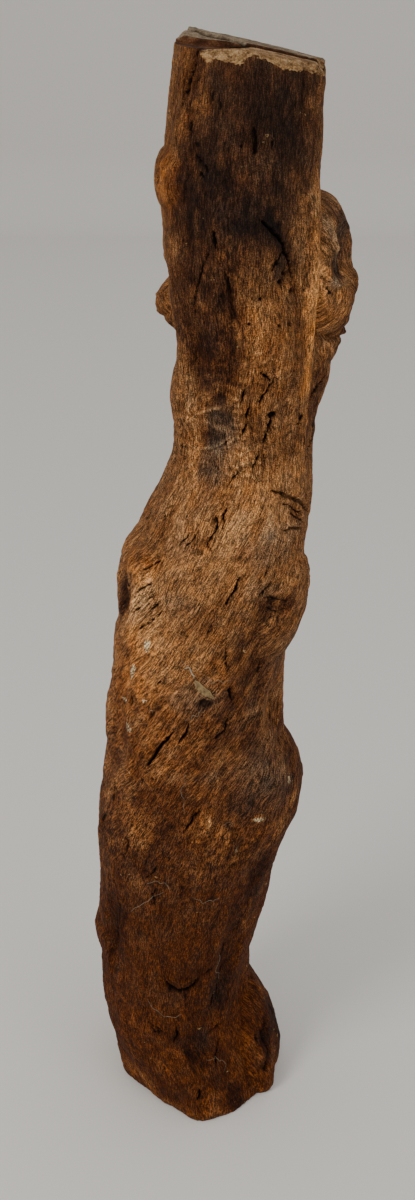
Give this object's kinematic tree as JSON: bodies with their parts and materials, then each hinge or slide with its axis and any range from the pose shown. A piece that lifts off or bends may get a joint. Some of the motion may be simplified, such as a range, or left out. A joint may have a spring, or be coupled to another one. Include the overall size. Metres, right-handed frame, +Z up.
{
  "type": "tree stump sculpture",
  "caption": "Tall gnarled tree trunk standing upright on its sawn foot, swaying sideways, with knots, burls, a side branch lobe and a slanting sawn top.",
  "frame": {"origin": "middle of the sawn foot, on the floor", "axes": "+Z up along the trunk, -Y towards the front, the side in the picture, +X to the viewer's right"},
  "size_m": [0.3135, 0.2422, 1.3651],
  "materials": {
    "weathered_wood": "bare dry wood, matt, weathered brown with dark checks and paler ridges"
  },
  "bodies": {
    "root": {"trunk": "weathered_wood"}
  },
  "joints": []
}
